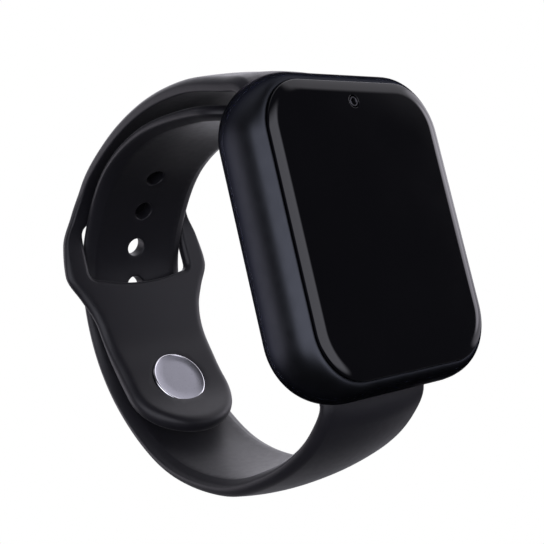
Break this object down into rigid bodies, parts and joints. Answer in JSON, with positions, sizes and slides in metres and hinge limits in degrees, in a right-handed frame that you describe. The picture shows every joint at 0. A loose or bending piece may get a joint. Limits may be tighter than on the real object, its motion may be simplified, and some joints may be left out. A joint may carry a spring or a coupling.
{
  "type": "smartwatch",
  "caption": "Square-faced smartwatch with a rounded case and glass, on a closed silicone band with a stud, a slot and adjustment holes.",
  "frame": {"origin": "centre of the back cover's flat outer face, which lies on the wrist", "axes": "+X across the case towards the side key, +Y out of the back of the case into the band's loop (the glass faces -Y), +Z towards 12 o'clock"},
  "size_m": [0.0385, 0.0644, 0.0649],
  "materials": {
    "case_metal": "satin black coated metal",
    "cover_glass": "polished black-backed glass",
    "silicone": "matt moulded silicone",
    "stud_steel": "brushed, with a polished edge",
    "bar_steel": "turned",
    "cover_plastic": "fine texture",
    "gasket": "matt",
    "board": "solder mask",
    "chip": "moulded",
    "shield": "stamped tinned sheet",
    "battery_foil": "foil pouch",
    "gold": "gold plated",
    "display": "dark display"
  },
  "bodies": {
    "case": {"case_body": "case_metal", "front_glass": "cover_glass", "upper_strap": "silicone", "lower_strap": "silicone", "camera_ring": "bar_steel", "upper_bar_tube": "bar_steel", "upper_bar_spring": "bar_steel", "lower_bar_tube": "bar_steel", "lower_bar_spring": "bar_steel", "key_spring": "bar_steel", "frame_screw_1": "bar_steel", "frame_screw_2": "bar_steel", "frame_screw_3": "bar_steel", "frame_screw_4": "bar_steel", "glass_gasket": "gasket", "main_board": "board", "camera_module": "chip", "processor": "chip", "memory_chip": "chip", "microphone": "chip", "display_connector": "chip", "loudspeaker": "chip", "key_switch": "chip", "mid_frame": "shield", "radio_shield": "shield", "sim_holder": "shield", "vibration_motor": "shield", "battery": "battery_foil", "display_panel": "display"},
    "key": {"power_key": "case_metal"},
    "cover": {"back_cover": "cover_plastic", "charge_contact_left": "gold", "charge_contact_right": "gold"},
    "clasp": {"clasp_flap": "silicone", "stud_disc": "stud_steel", "stud_post": "stud_steel"},
    "upper_tip": {"upper_bar_tip": "bar_steel"},
    "lower_tip": {"lower_bar_tip": "bar_steel"}
  },
  "joints": [
    {"name": "power_key_press", "type": "slide", "parent": "case", "child": "key", "axis": [-1, 0, 0], "range_m": [0, 0.00035], "stiffness_N_per_m": 3000},
    {"name": "back_cover_lift", "type": "slide", "parent": "case", "child": "cover", "axis": [0, 1, 0], "range_m": [0, 0.012]},
    {"name": "clasp_flap_bend", "type": "hinge", "parent": "case", "child": "clasp", "pos_m": [0, 0.0483, 0.01], "axis": [-1, 0, 0], "range_deg": [0, 12], "stiffness_Nm_per_rad": 0.05},
    {"name": "upper_bar_tip_push", "type": "slide", "parent": "case", "child": "upper_tip", "axis": [-1, 0, 0], "range_m": [0, 0.0012], "stiffness_N_per_m": 500},
    {"name": "lower_bar_tip_push", "type": "slide", "parent": "case", "child": "lower_tip", "axis": [-1, 0, 0], "range_m": [0, 0.0012], "stiffness_N_per_m": 500}
  ]
}
